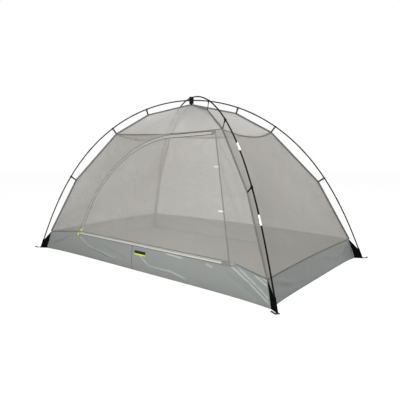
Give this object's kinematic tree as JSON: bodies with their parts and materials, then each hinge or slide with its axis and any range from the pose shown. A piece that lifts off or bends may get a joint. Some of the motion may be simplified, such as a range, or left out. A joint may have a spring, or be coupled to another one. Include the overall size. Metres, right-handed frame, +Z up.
{
  "type": "mosquito net tent",
  "caption": "Free-standing mesh inner tent with two crossing arched poles, clipped-on net canopy, bathtub floor and an arched zip door in one long side.",
  "frame": {"origin": "middle of the tub floor's underside, on the ground, under the crossing of the poles", "axes": "+X along the long side, +Y towards the wall without a door (the door wall faces -Y), +Z up"},
  "size_m": [2.2962, 1.3714, 1.2035],
  "materials": {
    "net": "fine see-through polyester mesh",
    "net_roof": "fine see-through polyester mesh",
    "tub_cloth": "coated grey waterproof cloth",
    "fibreglass": "black fibreglass with bare metal ferrules",
    "elastic": "sheathed elastic cord",
    "clip_plastic": "moulded black",
    "binding": "dark grey woven tape",
    "gusset_cloth": "black heavy weave",
    "peg_wire": "black coated wire",
    "zip_tape": "grey tape with plastic coil",
    "slider_metal": "grey painted zinc",
    "pull_tab": "yellow-green moulded tab",
    "tie_back": "light grey webbing with a toggle",
    "label": "woven, left bare"
  },
  "bodies": {
    "tent": {"clip_back_left_high": "clip_plastic", "clip_back_left_low": "clip_plastic", "clip_back_left_middle": "clip_plastic", "clip_back_right_high": "clip_plastic", "clip_back_right_low": "clip_plastic", "clip_back_right_middle": "clip_plastic", "clip_front_left_high": "clip_plastic", "clip_front_left_low": "clip_plastic", "clip_front_left_middle": "clip_plastic", "clip_front_right_high": "clip_plastic", "clip_front_right_low": "clip_plastic", "clip_front_right_middle": "clip_plastic", "corner_gusset_back_left": "gusset_cloth", "corner_gusset_back_right": "gusset_cloth", "corner_gusset_front_left": "gusset_cloth", "corner_gusset_front_right": "gusset_cloth", "crossing_clip": "clip_plastic", "label_patch": "label", "net_back": "net", "net_front": "net", "net_left": "net", "net_right": "net", "net_roof": "net_roof", "pole_high_section_1": "fibreglass", "pole_high_section_2": "fibreglass", "pole_high_section_3": "fibreglass", "pole_high_section_4": "fibreglass", "pole_high_section_5": "fibreglass", "pole_high_section_6": "fibreglass", "pole_high_section_7": "fibreglass", "pole_high_section_8": "fibreglass", "pole_low_section_1": "fibreglass", "pole_low_section_2": "fibreglass", "pole_low_section_3": "fibreglass", "pole_low_section_4": "fibreglass", "pole_low_section_5": "fibreglass", "pole_low_section_6": "fibreglass", "pole_low_section_7": "fibreglass", "pole_low_section_8": "fibreglass", "ridge_binding_back_left": "binding", "ridge_binding_back_right": "binding", "ridge_binding_front_left": "binding", "ridge_binding_front_right": "binding", "shock_cord_high": "elastic", "shock_cord_low": "elastic", "tub_floor": "tub_cloth", "zip_tape_frame": "zip_tape", "zip_tape_tub": "zip_tape"},
    "door": {"door_net": "net", "zip_tape_door": "zip_tape"},
    "sill_slider": {"slider_sill": "slider_metal"},
    "arch_slider": {"slider_arch": "slider_metal"},
    "sill_pull": {"pull_tab_sill": "pull_tab"},
    "arch_pull": {"pull_tab_arch": "pull_tab"},
    "upper_tie": {"tie_back_upper": "tie_back"},
    "lower_tie": {"tie_back_lower": "tie_back"},
    "front_left_hook": {"peg_hook_front_left": "peg_wire"},
    "front_right_hook": {"peg_hook_front_right": "peg_wire"},
    "back_right_hook": {"peg_hook_back_right": "peg_wire"},
    "back_left_hook": {"peg_hook_back_left": "peg_wire"}
  },
  "joints": [
    {"name": "door_swing", "type": "hinge", "parent": "tent", "child": "door", "pos_m": [0.61225, -0.4491, 0.55268], "axis": [-0.3639, 0.331, 0.8707], "range_deg": [0, 135]},
    {"name": "sill_zip", "type": "slide", "parent": "tent", "child": "sill_slider", "axis": [1, 0, 0], "range_m": [0, 1.426]},
    {"name": "arch_zip", "type": "hinge", "parent": "tent", "child": "arch_slider", "pos_m": [0.128, -0.58288, 0.20235], "axis": [0, 0.9347, -0.3554], "range_deg": [0, 89]},
    {"name": "arch_pull_swing", "type": "hinge", "parent": "arch_slider", "child": "arch_pull", "pos_m": [-0.61791, -0.58206, 0.2152], "axis": [-0.9999, 0.0059, 0.0154], "range_deg": [0, 170]},
    {"name": "sill_pull_swing", "type": "hinge", "parent": "sill_slider", "child": "sill_pull", "pos_m": [-0.64001, -0.59485, 0.18155], "axis": [-1, 0, 0], "range_deg": [0, 170]},
    {"name": "upper_tie_swing", "type": "hinge", "parent": "tent", "child": "upper_tie", "pos_m": [0.55336, -0.38956, 0.70228], "axis": [0.3639, -0.331, -0.8707], "range_deg": [0, 165]},
    {"name": "lower_tie_swing", "type": "hinge", "parent": "tent", "child": "lower_tie", "pos_m": [0.66079, -0.48729, 0.44521], "axis": [0.3639, -0.331, -0.8707], "range_deg": [0, 165]},
    {"name": "front_left_hook_swing", "type": "hinge", "parent": "tent", "child": "front_left_hook", "pos_m": [-1.10986, -0.66191, 0.0046], "axis": [-0.5122, 0.8589, 0], "range_deg": [0, 95]},
    {"name": "back_right_hook_swing", "type": "hinge", "parent": "tent", "child": "back_right_hook", "pos_m": [1.10986, 0.66191, 0.0046], "axis": [0.5122, -0.8589, 0], "range_deg": [0, 95]},
    {"name": "front_right_hook_swing", "type": "hinge", "parent": "tent", "child": "front_right_hook", "pos_m": [1.10986, -0.66191, 0.0046], "axis": [-0.5122, -0.8589, 0], "range_deg": [0, 95]},
    {"name": "back_left_hook_swing", "type": "hinge", "parent": "tent", "child": "back_left_hook", "pos_m": [-1.10986, 0.66191, 0.0046], "axis": [0.5122, 0.8589, 0], "range_deg": [0, 95]}
  ]
}
